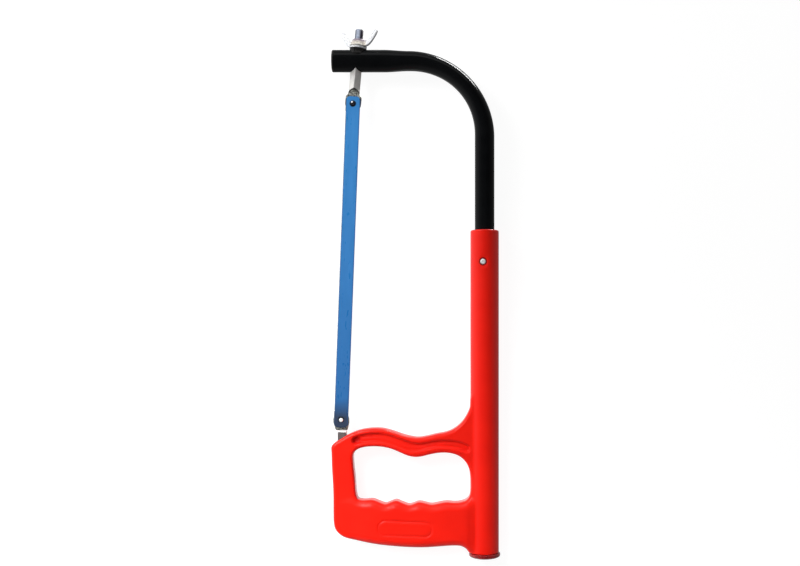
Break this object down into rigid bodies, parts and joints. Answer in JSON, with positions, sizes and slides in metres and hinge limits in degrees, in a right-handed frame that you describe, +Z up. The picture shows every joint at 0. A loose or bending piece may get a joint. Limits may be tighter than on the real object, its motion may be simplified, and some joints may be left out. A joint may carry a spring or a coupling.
{
  "type": "hacksaw",
  "caption": "Hacksaw with a bent tubular frame, a closed moulded handle, and a toothed blade hooked on two pins and stretched by a rod and wing nut.",
  "frame": {"origin": "under the middle of the saw as it lies on its side: the centre of its box in X and Y, at the surface it lies on", "axes": "+Y along the frame's leg and the blade, away from the handle; +X across the saw, from the blade to the leg; +Z up, out of the saw's plane, on the blade's side"},
  "size_m": [0.1602, 0.5039, 0.0296],
  "materials": {
    "handle_red": "gloss",
    "cap_red": "gloss",
    "frame_black": "semi-gloss black enamel",
    "guide_black": "satin black",
    "black_plastic": "satin",
    "zinc": "bright zinc plate",
    "rod_steel": "plated forging",
    "pin_steel": "bright",
    "blade_blue": "thin semi-gloss enamel",
    "rivet_aluminium": "bright",
    "rivet_steel": "dull"
  },
  "bodies": {
    "frame": {"frame_tube": "frame_black", "tube_end_plug": "black_plastic", "rod_guide": "guide_black", "washer": "zinc", "lower_blade_holder": "rod_steel", "lower_blade_pin": "pin_steel", "handle": "handle_red", "end_cap": "cap_red", "handle_rivet": "rivet_aluminium", "rivet_mandrel": "rivet_steel"},
    "rod": {"tension_rod": "rod_steel", "upper_blade_pin": "pin_steel"},
    "nut": {"wing_nut": "zinc"},
    "saw_blade": {"blade": "blade_blue"}
  },
  "joints": [
    {"name": "tension_rod_slide", "type": "slide", "parent": "frame", "child": "rod", "axis": [0.0872, 0.9962, 0], "range_m": [-0.00125, 0]},
    {"name": "wing_nut_turn", "type": "hinge", "parent": "frame", "child": "nut", "pos_m": [-0.0563, 0.2219, 0.0148], "axis": [0.0872, 0.9962, 0], "range_deg": [0, 360]},
    {"name": "blade_lift", "type": "slide", "parent": "frame", "child": "saw_blade", "axis": [0, 0, 1], "range_m": [0, 0.03]}
  ],
  "couplings": [
    {"joint": "wing_nut_turn", "follows": "tension_rod_slide", "rad_per_m": -5026.5}
  ]
}
